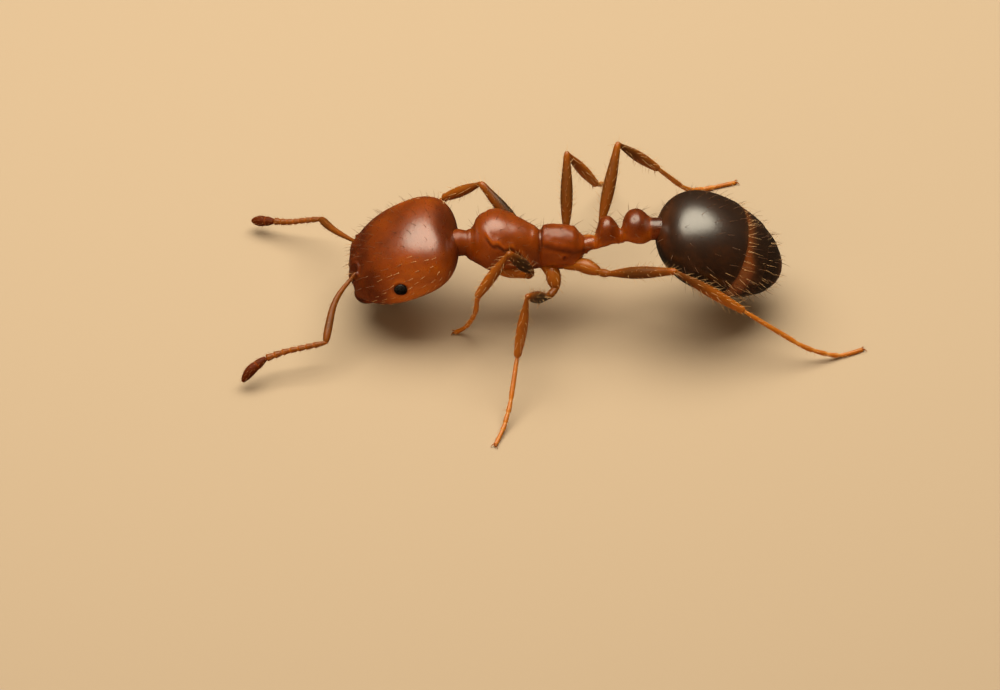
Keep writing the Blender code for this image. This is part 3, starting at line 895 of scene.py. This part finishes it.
trunk_shell = shell_material("trunk_shell", SHELL_TONES, roughness=0.28, grain=0.010, gloss=0.85)
satin_shell = shell_material("satin_shell", SHELL_TONES, roughness=0.33, grain=0.008, gloss=0.5)
make_plate("collar", "neck", collar_relief, trunk_tone, satin_shell, front=(0.16, 1.0))
thorax = make_plate("front_trunk", "thorax", thorax_relief, trunk_tone, trunk_shell, front=(0.045, 0.65))
propodeum = make_plate("rear_trunk", "propodeum", propodeum_relief, propodeum_tone, satin_shell)
petiole = make_plate("first_knot", "petiole", petiole_relief, petiole_tone, trunk_shell)
postpetiole = make_plate("second_knot", "postpetiole", plain_relief, postpetiole_tone, trunk_shell,
                         rear=(0.14, 1.0))

# ---- Gaster ----
# The swollen rear of the body: four black-brown plates that telescope, each rim standing a hair proud of the
# next plate. Thin orange-brown shell shows at the front of the second one.

GASTER_FROM_WAIST = Vector((0, 1.558, 0.758)) * MM
GASTER_PITCH = math.radians(34.5)
GASTER_TURN = math.radians(6.5)
GASTER_HALF_WIDTH = 0.506
GASTER_HALF_HEIGHT = 0.391
GASTER_FRONT_LENGTH = 0.540
GASTER_REAR_LENGTH = 0.730
GASTER_FRONT_POWER = 2.38  # how squarely each end rounds off
GASTER_REAR_POWER = 1.97
GASTER_SEAMS = (0.120, 0.400, 0.570)
SEAM_STEP = 0.975
GASTER_SIDES = 72
FRONT_PLATE_STEPS = 36
PLATE_STEPS = 14
POLE_SHARE = 0.999  # the end rings keep a little girth
SLEEVE_LENGTH = 0.060  # how far a plate starts under the one before it
SLEEVE_GIRTH = 0.975
SLEEVE_FLARE = 0.02  # where the sleeve has reached the plate's own girth
RIM = ((0.003, 0.992), (-0.004, 0.980))  # (behind the seam, times the girth) of the rings that turn it in
SIDE_SEAM_ANGLE = -0.85  # below the widest line, in radians
BAND_WIDTH = 0.110

GASTER_TONES = (  # from pale, thin shell to black, thick shell; tones fed in include painted light on the sides
    (0.00, (0.480, 0.200, 0.060)),
    (0.54, (0.230, 0.052, 0.005)),
    (0.70, (0.090, 0.026, 0.005)),
    (0.85, (0.026, 0.009, 0.003)),
    (1.00, (0.010, 0.005, 0.003)),
)

gaster_centre = waist + GASTER_FROM_WAIST
gaster_turn = Matrix.Rotation(GASTER_TURN, 3, "Z") @ Matrix.Rotation(-GASTER_PITCH, 3, "X")
gaster_axis = gaster_turn @ Vector((0, 1, 0))
gaster_across = gaster_turn @ Vector((1, 0, 0))
gaster_up = gaster_turn @ Vector((0, 0, 1))


def gaster_ring(along, scale):
    """A ring for the loft, at a distance along the gaster's axis from its widest place."""
    if along < 0:
        girth = rounding(-along / GASTER_FRONT_LENGTH, GASTER_FRONT_POWER)
    else:
        girth = rounding(along / GASTER_REAR_LENGTH, GASTER_REAR_POWER)
    girth *= scale * MM
    return (gaster_centre + gaster_axis * along * MM, gaster_across * GASTER_HALF_WIDTH * girth,
            gaster_up * GASTER_HALF_HEIGHT * girth)


def gaster_tone(number, along, aside, seams):
    """Black-brown, paling at rims and tip, with an orange-brown band on the second plate. Painted light pales
    the sides and widens the band there.

    `aside` is 0 along the top and 1 at the sides.
    """
    start, end = seams[number], seams[number + 1]
    # The terms in `aside` are painted light on the plates' sides.
    if number == 0:
        return 0.88 - 0.05 * aside - 0.06 * near(along, end, 0.030) - 0.08 * near(along, start, 0.05)
    if number == 1:
        band = near(along, start + BAND_WIDTH * (0.30 + 0.30 * aside), BAND_WIDTH * (0.65 + 0.25 * aside))
        return 0.90 - 0.10 * aside - (0.26 + 0.16 * aside) * band - 0.06 * near(along, end, 0.02)
    if number == 2:
        return 0.90 - 0.12 * aside - 0.08 * near(along, end, 0.03)
    return 0.86 - 0.12 * aside - 0.30 * step_up(along, 0.54, 0.70)


def make_gaster_plate(number, material):
    """One of the four plates, counted from the front, with its sleeve and its rim."""
    seams = (-GASTER_FRONT_LENGTH * POLE_SHARE, *GASTER_SEAMS, GASTER_REAR_LENGTH * POLE_SHARE)
    start, end = seams[number], seams[number + 1]
    scale = SEAM_STEP**number
    count = PLATE_STEPS if number else FRONT_PLATE_STEPS
    rings = []
    if number:
        rings.append(gaster_ring(start - SLEEVE_LENGTH, scale * SLEEVE_GIRTH))
    first = start - SLEEVE_FLARE if number else start
    for step in range(count + 1):
        share = step / count
        if number == 0:
            share = 1 - math.cos(math.pi / 2 * share)
        elif number == 3:
            share = math.sin(math.pi / 2 * share)
        rings.append(gaster_ring(first + (end - first) * share, scale))
    if number < 3:
        rings += [gaster_ring(end + back, scale * girth) for back, girth in RIM]
    bm = smoothed(loft(rings, GASTER_SIDES), 1)
    tone = bm.verts.layers.float.new("tone")
    bm.normal_update()
    for vert in bm.verts:
        place = (vert.co - gaster_centre) / MM
        along = place.dot(gaster_axis)
        angle = math.atan2(place.dot(gaster_up), abs(place.dot(gaster_across)))
        relief = -0.004 * near(angle, SIDE_SEAM_ANGLE, 0.025)
        aside = step_up(abs(place.dot(gaster_across)) / GASTER_HALF_WIDTH, 0.4, 0.9)
        vert[tone] = gaster_tone(number, along, aside, seams)
        vert.co += vert.normal * relief * MM
    return add_object(bm, f"gaster_plate_{number + 1}", material, "gaster_shell", f"gaster_{number + 1}")


gaster_shell = shell_material("gaster_shell", GASTER_TONES, roughness=0.31, grain=0.008, glow=0.02, coat=0.7)
gaster_plates = [make_gaster_plate(number, gaster_shell) for number in range(4)]

# ---- Legs ----
# Six legs of thin orange shell: hip piece, thigh with its short ring, shin with a spur, and a foot of five
# segments that ends in a pair of hooked claws. The thighs are dusky brown in the middle, partly as painted
# shade on their upper outer side, and the hind shins carry painted shade near the knee.

FOOT_BEADS = (0.0, 0.46, 0.60, 0.71, 0.80, 1.0)
HIP_GIRTHS = (
    (-0.35, 0.8), (-0.15, 0.95), (0.0, 1.0), (0.25, 1.04), (0.5, 1.04), (0.75, 1.0),
    (0.90, 1.0), (0.98, 0.85), (1.02, 0.5),
)
THIGH_GIRTHS = (  # the short ring at its root is the swelling before 0.15
    (-0.03, 0.5), (-0.01, 0.85), (0.03, 1.02), (0.08, 1.10), (0.12, 0.98), (0.15, 0.86),
    (0.19, 0.96), (0.28, 1.04), (0.40, 1.06), (0.52, 1.06), (0.64, 1.04), (0.76, 1.02),
    (0.87, 1.0), (0.94, 1.08), (0.98, 1.05), (1.01, 0.8), (1.03, 0.45),
)
SHIN_GIRTHS = (
    (-0.03, 0.5), (-0.01, 0.85), (0.03, 0.95), (0.08, 0.86), (0.14, 0.92), (0.28, 1.02),
    (0.42, 1.05), (0.56, 1.05), (0.70, 1.03), (0.82, 1.0), (0.90, 1.0), (0.96, 1.06),
    (0.99, 0.92), (1.01, 0.55),
)
# How much darker each thigh is on its upper outer side: dusky shell and painted shade.
THIGH_DUSK_AND_SHADE = {"fore": 0.38, "mid": 0.38, "hind": 0.14}
SPUR_LENGTHS = {"fore": 0.085, "mid": 0.050, "hind": 0.050}
SPUR_ROOT = 0.96  # share of the shin
SPUR_GIRTH = 0.0075
SPUR_TAPER = 0.0055
SPUR_TONE = 0.30
CLAW_ROOT = 0.985  # share of the foot
CLAW_LENGTH = 0.056
CLAW_GIRTH = 0.0075
CLAW_BEND = math.radians(100)
CLAW_ROOT_HEIGHT = 0.016  # above the middle of the toe
CLAW_TONE = 0.40
PAD_SIZE = (0.013, 0.013, 0.009)
SPINE_SIDES = 8  # of spurs and claws


def thigh_tone(share):
    return 0.46 + 0.08 * near(share, 0.55, 0.30) - 0.08 * near(share, 1.0, 0.06)


def shin_tone(share):
    return 0.31 + 0.16 * near(share, 0.10, 0.28) + 0.04 * near(share, 0.55, 0.25)


def fore_shin_tone(share):
    return shin_tone(share) + 0.07


# Painted shade over the half of each hind shin next to the knee.
def hind_shin_tone(share):
    return shin_tone(share) + 0.18 * near(share, 0.25, 0.35)


def hip_tone(share):
    return 0.34 + 0.06 * share


def make_spur(name, line, length, material):
    """The curved spine under the end of a shin."""
    root, radius = line.at(SPUR_ROOT)
    way = (line.at(1.0)[0] - line.at(0.90)[0]).normalized()
    downward = Vector((0, 0, -1))
    downward = (downward - downward.dot(way) * way).normalized()
    aside = way.cross(downward)
    rings = []
    for step in range(5):
        share = step / 4
        drop = radius * 0.7 + length * MM * 0.45 * share
        centre = root + downward * drop + way * length * MM * share**1.5
        girth = (SPUR_GIRTH - SPUR_TAPER * share) * MM
        rings.append((centre, aside * girth, way.cross(aside) * girth))
    bm = smoothed(loft(rings, SPINE_SIDES), 1)
    tone = bm.verts.layers.float.new("tone")
    for vert in bm.verts:
        vert[tone] = SPUR_TONE
        vert.co.z = max(vert.co.z, 0)
    return add_object(bm, name, material, "limb_shell")


def make_claws(name, line, material):
    """Two hooks that part at the tip of the foot, over a small pad."""
    toe = line.at(CLAW_ROOT)[0]
    way = toe - line.at(0.90)[0]
    way.z = 0
    way.normalize()
    aside = Vector((-way.y, way.x, 0))
    bm = bmesh.new()
    tone = bm.verts.layers.float.new("tone")
    for sign in (1, -1):
        rings = []
        for step in range(7):
            share = step / 6
            bend = CLAW_BEND * share
            reach = CLAW_LENGTH * (math.sin(bend) * 0.62) * MM
            drop = CLAW_LENGTH * (1 - math.cos(bend)) * 0.42 * MM
            spread = sign * (0.006 + 0.030 * share) * MM
            lift = toe.z + CLAW_ROOT_HEIGHT * MM - drop
            centre = Vector((toe.x, toe.y, 0)) + way * reach + aside * spread
            centre.z = max(lift, CLAW_GIRTH * MM * 0.4)
            girth = CLAW_GIRTH * (1 - 0.82 * share) * MM
            normal = (way * math.cos(bend) - Vector((0, 0, 1)) * math.sin(bend)).normalized()
            rings.append((centre, aside * girth, normal.cross(aside) * girth))
        hook = smoothed(loft(rings, SPINE_SIDES), 1)
        mesh = bpy.data.meshes.new("hook")
        hook.to_mesh(mesh)
        hook.free()
        bm.from_mesh(mesh)
        bpy.data.meshes.remove(mesh)
    half_sizes = [half * MM for half in PAD_SIZE]
    pad = Matrix.Translation(toe + way * 0.012 * MM) @ Matrix.Diagonal((*half_sizes, 1))
    bmesh.ops.create_icosphere(bm, subdivisions=2, radius=1, matrix=pad)
    for vert in bm.verts:
        vert[tone] = CLAW_TONE
        vert.co.z = max(vert.co.z, 0)
    return add_object(bm, name, material, "limb_shell")


leg_shell = shell_material("leg_shell", LIMB_TONES, roughness=0.34, grain=0.006, glow=0.22, gloss=0.5)
shin_tones = {"fore": fore_shin_tone, "mid": shin_tone, "hind": hind_shin_tone}
leg_pieces = []
for side, sign in (("left", 1), ("right", -1)):
    outward = Vector((sign, 0, 0.6)).normalized()
    for pair in ("fore", "mid", "hind"):
        leg = f"{side}_{pair}"
        thigh_root = joint(f"{leg}_coxa", f"{leg}_femur")
        knee = joint(f"{leg}_femur", f"{leg}_tibia")
        ankle = joint(f"{leg}_tibia", f"{leg}_tarsus", 8)
        hip = far_end(f"{leg}_coxa", thigh_root)
        toe = far_end(f"{leg}_tarsus", ankle, 8)
        coxa = Line(f"{leg}_coxa", hip, thigh_root)
        femur = Line(f"{leg}_femur", thigh_root, knee)
        tibia = Line(f"{leg}_tibia", knee, ankle)
        tarsus = Line(f"{leg}_tarsus", ankle, toe)
        leg_pieces += [
            make_limb(f"{leg}_hip", f"{leg}_coxa", coxa, HIP_GIRTHS, hip_tone, leg_shell),
            make_limb(f"{leg}_thigh", f"{leg}_femur", femur, THIGH_GIRTHS, thigh_tone, leg_shell,
                      dusky_shaded_side=outward, dusk_and_shade=THIGH_DUSK_AND_SHADE[pair]),
            make_limb(f"{leg}_shin", f"{leg}_tibia", tibia, SHIN_GIRTHS, shin_tones[pair], leg_shell),
            make_limb(f"{leg}_foot", f"{leg}_tarsus", tarsus, beads(FOOT_BEADS, 0.72, 1.12),
                      bead_tone(FOOT_BEADS, 0.27, 0.14), leg_shell),
        ]
        make_claws(f"{leg}_claws", tarsus, leg_shell)
        make_spur(f"{leg}_spur", tibia, SPUR_LENGTHS[pair], leg_shell)

# ---- Hairs ----
# Dark bristles stand up from the head, trunk and gaster. Paler hairs stand over the mouth and lean along the
# cheeks, the gaster's sides and seams, the legs and the feelers. Each is one closed, bent cone with a thick
# root that is sunk in its plate.

HAIR_SIDES = 4
HAIR_RINGS = (  # (share of the length, times the hair's girth)
    (-0.04, 2.4), (0.03, 1.8), (0.10, 1.1), (0.45, 0.85), (0.80, 0.5), (1.0, 0.1),
)
HAIR_BEND = 0.22
HAIR_CLOUD_SIZE = 0.05
LENGTH_RANGE = (0.72, 1.18)
DISORDER = 0.16
TRIES = 3  # for each spacing squared of the plate
MAP_SHARE = 0.99
MAP_PATCH = 0.003  # of one hair on the baking map


def hair_material(name, deep, pale, roughness):
    material, shader, start = new_material(name)
    place = start.add("ShaderNodeTexCoord", output="Object")
    feed_colours(shader, ((0.3, deep), (0.7, pale)), blotches(start, place, HAIR_CLOUD_SIZE))
    shader.inputs["Roughness"].default_value = roughness
    return material


def plant(host, spacing, seed, length, girth, lean, lie, where=None, strip=(0, 1)):
    """Hairs spread over a plate, as (root, way, lie, length, girth, place on the map).

    No two roots are nearer than the spacing. A hair leans from the plate's normal towards `lie`, a direction.
    `where` is the chance of a hair at a place. `strip` is (the host's strip of the map, how many there are).
    """
    mesh = host.data
    dice = random.Random(seed)
    faces = list(mesh.polygons)
    reach = spacing * MM
    tries = int(TRIES * sum(face.area for face in faces) / reach**2)
    around = mesh.attributes["around"].data
    along = mesh.attributes["along"].data
    steps = (-1, 0, 1)
    taken = {}
    hairs = []
    for face in dice.choices(faces, weights=[face.area for face in faces], k=tries):
        corners = [mesh.vertices[number] for number in face.vertices]
        shares = [dice.random() + 0.05 for _ in corners]
        root = sum((corner.co * share for corner, share in zip(corners, shares)), Vector()) / sum(shares)
        normal = sum((corner.normal * share for corner, share in zip(corners, shares)), Vector()).normalized()
        place = (root - waist) / MM
        if where and dice.random() > where(place, normal):
            continue
        cell = tuple(math.floor(value / reach) for value in root)
        nearby = [(cell[0] + i, cell[1] + j, cell[2] + k) for i in steps for j in steps for k in steps]
        if any((other - root).length < reach for key in nearby for other in taken.get(key, ())):
            continue
        taken.setdefault(cell, []).append(root)
        towards = (lie - lie.dot(normal) * normal).normalized()
        jitter = Vector((dice.uniform(-1, 1), dice.uniform(-1, 1), dice.uniform(-1, 1))) * DISORDER
        way = (normal * (1 - lean) + towards * lean + jitter).normalized()
        corner = face.vertices[0]
        map_x = (strip[0] + around[corner].value * MAP_SHARE) / strip[1]
        map_y = along[corner].value * MAP_SHARE
        grown = length * dice.uniform(*LENGTH_RANGE) * MM
        hairs.append((root, way, towards, grown, girth * MM, (map_x, map_y)))
    return hairs


def make_coat(name, hairs, material):
    """All the given hairs in one mesh, each with its patch of the baking map."""
    bristle = loft([(Vector((0, 0, share)), Vector((girth, 0, 0)), Vector((0, girth, 0)))
                    for share, girth in HAIR_RINGS], HAIR_SIDES)
    bristle.verts.index_update()
    corners = [vert.co.copy() for vert in bristle.verts]
    outlines = [[vert.index for vert in face.verts] for face in bristle.faces]
    bristle.free()
    places = []
    faces = []
    patches = []
    for root, way, towards, length, girth, (map_x, map_y) in hairs:
        first = len(places)
        aside = way.orthogonal().normalized()
        across = way.cross(aside)
        for corner in corners:
            reach = length * corner.z
            bow = length * HAIR_BEND * max(corner.z, 0) ** 2
            place = root + way * reach + towards * bow + (aside * corner.x + across * corner.y) * girth
            place.z = max(place.z, 0)
            places.append(place)
        for outline in outlines:
            faces.append([first + number for number in outline])
            for number in outline:
                patches.append(map_x + (corners[number].x * 0.25 + 0.5) * MAP_PATCH)
                patches.append(map_y + max(corners[number].z, 0) * MAP_PATCH)
    mesh = bpy.data.meshes.new(name)
    mesh.from_pydata(places, [], faces)
    mesh.uv_layers.new(name="OFBake").data.foreach_set("uv", patches)
    mesh.shade_smooth()
    mesh.materials.append(material)
    coat = put_in_scene(name, mesh)
    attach(coat, "root")


dark_hair = hair_material("dark_hair", (0.070, 0.026, 0.012), (0.240, 0.110, 0.045), 0.35)
limb_hair = hair_material("limb_hair", (0.520, 0.260, 0.090), (0.780, 0.520, 0.260), 0.35)
feeler_hair = hair_material("feeler_hair", (0.260, 0.100, 0.026), (0.460, 0.210, 0.060), 0.45)
golden_hair = hair_material("golden_hair", (0.520, 0.270, 0.100), (0.820, 0.560, 0.300), 0.32)
backward = Vector((0, 1, 0))


def in_head_frame(place):
    """(across, forward, up) in the head of a place measured from the waist."""
    offset = place + (waist - head_centre) / MM
    return Vector((offset.dot(across_ant), offset.dot(ahead), offset.dot(crownward)))


def crown_chance(place, normal):
    """Bristles all over the crown, but for the eyes."""
    _, forward, up = in_head_frame(place)
    return 0.9 * step_up(up, 0.02, 0.12) * (math.hypot(forward - EYE_FORWARD, up - EYE_UP) > 0.10)


def cheek_chance(place, normal):
    """Lying hairs round the eyes and along the cheeks."""
    across, forward, up = in_head_frame(place)
    clear = math.hypot((forward - EYE_FORWARD) / EYE_HALF_LENGTH, (up - EYE_UP) / EYE_HALF_HEIGHT) > 1.25
    behind = step_up(forward, -0.50, -0.35) * step_up(0.32 - forward, 0, 0.10)
    return 0.8 * clear * behind * step_up(abs(across), 0.30, 0.40) * near(up, 0.05, 0.13)


def front_chance(place, normal):
    """Bristles along the front edge, over the mouth."""
    across, forward, up = in_head_frame(place)
    return step_up(forward, 0.42, 0.48) * step_up(up, -0.03, 0.0) * step_up(0.26 - abs(across), 0, 0.04) * 0.8


crown_bristles = plant(head_shell, spacing=0.082, seed=11, length=0.075, girth=0.0016, lean=0.25, lie=ahead,
                       where=crown_chance)
cheek_hairs = plant(head_shell, spacing=0.060, seed=12, length=0.042, girth=0.0017, lean=0.78, lie=ahead,
                    where=cheek_chance)
mouth_bristles = plant(head_shell, spacing=0.060, seed=13, length=0.060, girth=0.0016, lean=0.30, lie=ahead,
                       where=front_chance)
make_coat("crown_bristles", crown_bristles, dark_hair)
make_coat("cheek_hairs", cheek_hairs, golden_hair)
make_coat("mouth_bristles", mouth_bristles, golden_hair)


def top_chance(place, normal):
    """Bristles wherever the shell faces upwards."""
    return 0.9 * step_up(normal.z, 0.0, 0.5)


trunk_plates = ((thorax, 0.085), (propodeum, 0.090), (petiole, 0.060), (postpetiole, 0.065))
trunk_hairs = []
for number, (plate, spacing) in enumerate(trunk_plates):
    trunk_hairs += plant(plate, spacing, seed=21 + number, length=0.085, girth=0.0016, lean=0.22,
                         lie=backward, where=top_chance, strip=(number, len(trunk_plates)))
make_coat("trunk_bristles", trunk_hairs, dark_hair)


def gaster_chance(place, normal):
    """Bristles all over."""
    return 0.85


def row_chance(place, normal):
    """Golden hairs low on the sides of the gaster, and in rows behind the first two seams."""
    from_centre = place + (waist - gaster_centre) / MM
    along = from_centre.dot(gaster_axis)
    low = near(normal.dot(gaster_up), -0.25, 0.35) * step_up(along, -0.20, -0.05)
    low *= 1 - 0.65 * step_up(along, 0.25, 0.40)
    rows = ((0.6, GASTER_SEAMS[0]), (0.3, GASTER_SEAMS[1]))
    return max(0.9 * low, *(chance * near(along, seam + 0.035, 0.024) for chance, seam in rows))


gaster_bristles = []
gaster_rows = []
for number, plate in enumerate(gaster_plates):
    strip = (number, len(gaster_plates))
    gaster_bristles += plant(plate, spacing=0.100, seed=31 + number, length=0.085, girth=0.0015, lean=0.36,
                             lie=gaster_axis, where=gaster_chance, strip=strip)
    gaster_rows += plant(plate, spacing=0.056, seed=41 + number, length=0.100, girth=0.0016, lean=0.60,
                         lie=gaster_axis, where=row_chance, strip=strip)
make_coat("gaster_bristles", gaster_bristles, dark_hair)
make_coat("gaster_rows", gaster_rows, golden_hair)

leg_hairs = []
for number, piece in enumerate(leg_pieces):
    start, end = limb_ends[piece.name]
    spacing, length = (0.030, 0.034) if piece.name.endswith("foot") else (0.042, 0.066)
    leg_hairs += plant(piece, spacing, seed=51 + number, length=length, girth=0.0015, lean=0.42,
                       lie=(end - start).normalized(), strip=(number, len(leg_pieces)))
make_coat("leg_hairs", leg_hairs, limb_hair)

feeler_hairs = []
for number, piece in enumerate(feeler_pieces):
    start, end = limb_ends[piece.name]
    spacing, length = (0.040, 0.036) if piece.name.endswith("scape_shell") else (0.024, 0.026)
    feeler_hairs += plant(piece, spacing, seed=91 + number, length=length, girth=0.0011, lean=0.50,
                          lie=(end - start).normalized(), strip=(number, len(feeler_pieces)))
make_coat("feeler_hairs", feeler_hairs, feeler_hair)
